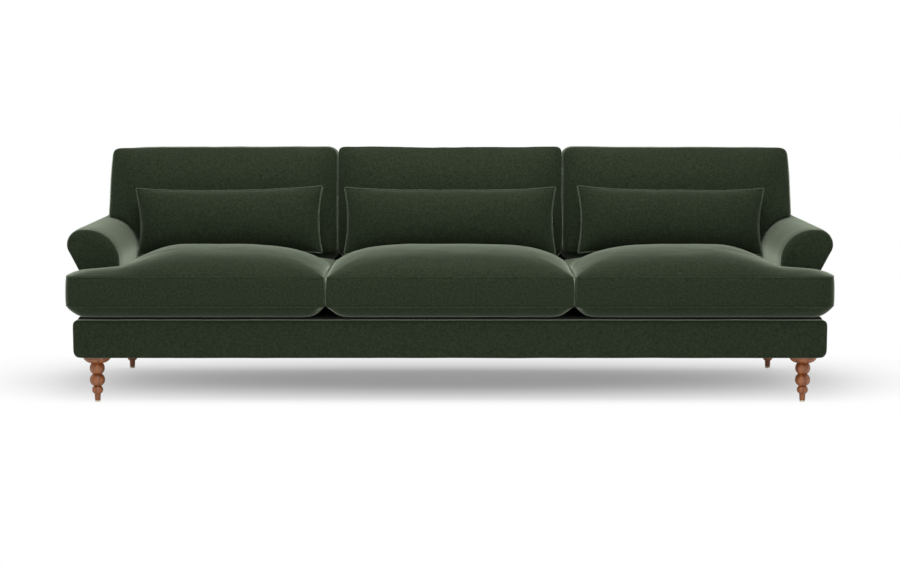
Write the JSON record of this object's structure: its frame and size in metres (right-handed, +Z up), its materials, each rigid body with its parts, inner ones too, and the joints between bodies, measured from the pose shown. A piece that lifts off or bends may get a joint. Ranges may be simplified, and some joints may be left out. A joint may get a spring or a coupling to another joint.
{
  "type": "sofa",
  "caption": "Upholstered velvet sofa with low rolled arms, loose seat and back cushions, long lumbar pillows and turned wooden legs.",
  "frame": {"origin": "on the floor under the middle of the sofa's overall box", "axes": "+X to the right as seen from the front along the sofa's length, +Y to the back, +Z up"},
  "size_m": [2.69, 1.0154, 0.8533],
  "materials": {
    "velvet": "matte",
    "leg_wood": "satin",
    "frame_wood": "matte",
    "steel": "satin",
    "glide": "matte",
    "dust_cloth": "matte",
    "deck_cloth": "matte",
    "webbing": "matte",
    "foam": "matte",
    "fibre": "matte"
  },
  "bodies": {
    "frame": {"front_rail": "frame_wood", "rear_rail": "frame_wood", "side_rail_left": "frame_wood", "side_rail_right": "frame_wood", "cross_rails": "frame_wood", "corner_blocks": "frame_wood", "corner_screws": "steel", "leg_bolts": "steel", "leg_inserts": "steel", "leg_glides": "glide", "dust_cover": "dust_cloth", "front_rail_cover": "velvet", "seat_deck": "deck_cloth", "seat_springs": "steel", "spring_clips": "steel", "arm_stumps": "frame_wood", "stump_dowels": "frame_wood", "arm_boards": "frame_wood", "arm_tack_rails": "frame_wood", "arm_pad_left": "velvet", "arm_pad_right": "velvet", "arm_facing_left": "velvet", "arm_facing_right": "velvet", "outside_arm_left": "velvet", "outside_arm_right": "velvet", "back_posts": "frame_wood", "post_dowels": "frame_wood", "back_top_rail": "frame_wood", "back_tack_rails": "frame_wood", "back_webbing": "webbing", "inside_back": "velvet", "outside_back": "velvet", "leg_front_left": "leg_wood", "leg_front_right": "leg_wood", "leg_rear_left": "leg_wood", "leg_rear_right": "leg_wood"},
    "seat_left": {"seat_cushion_left": "velvet", "seat_core_left": "foam"},
    "seat_centre": {"seat_cushion_centre": "velvet", "seat_core_centre": "foam"},
    "seat_right": {"seat_cushion_right": "velvet", "seat_core_right": "foam"},
    "back_left": {"back_cushion_left": "velvet", "back_core_left": "fibre"},
    "back_centre": {"back_cushion_centre": "velvet", "back_core_centre": "fibre"},
    "back_right": {"back_cushion_right": "velvet", "back_core_right": "fibre"},
    "lumbar_left": {"lumbar_pillow_left": "velvet", "lumbar_core_left": "fibre"},
    "lumbar_centre": {"lumbar_pillow_centre": "velvet", "lumbar_core_centre": "fibre"},
    "lumbar_right": {"lumbar_pillow_right": "velvet", "lumbar_core_right": "fibre"}
  },
  "joints": [
    {"name": "seat_left_slide", "type": "slide", "parent": "frame", "child": "seat_left", "axis": [0, -1, 0], "range_m": [0, 0.82]},
    {"name": "seat_centre_slide", "type": "slide", "parent": "frame", "child": "seat_centre", "axis": [0, -1, 0], "range_m": [0, 0.82]},
    {"name": "seat_right_slide", "type": "slide", "parent": "frame", "child": "seat_right", "axis": [0, -1, 0], "range_m": [0, 0.82]},
    {"name": "back_left_lift", "type": "slide", "parent": "frame", "child": "back_left", "axis": [0, 0.1908, 0.9816], "range_m": [0, 0.4]},
    {"name": "back_centre_lift", "type": "slide", "parent": "frame", "child": "back_centre", "axis": [0, 0.1908, 0.9816], "range_m": [0, 0.4]},
    {"name": "back_right_lift", "type": "slide", "parent": "frame", "child": "back_right", "axis": [0, 0.1908, 0.9816], "range_m": [0, 0.4]},
    {"name": "lumbar_left_lift", "type": "slide", "parent": "frame", "child": "lumbar_left", "axis": [0, -0.7071, 0.7071], "range_m": [0, 0.35]},
    {"name": "lumbar_centre_lift", "type": "slide", "parent": "frame", "child": "lumbar_centre", "axis": [0, -0.7071, 0.7071], "range_m": [0, 0.35]},
    {"name": "lumbar_right_lift", "type": "slide", "parent": "frame", "child": "lumbar_right", "axis": [0, -0.7071, 0.7071], "range_m": [0, 0.35]}
  ]
}
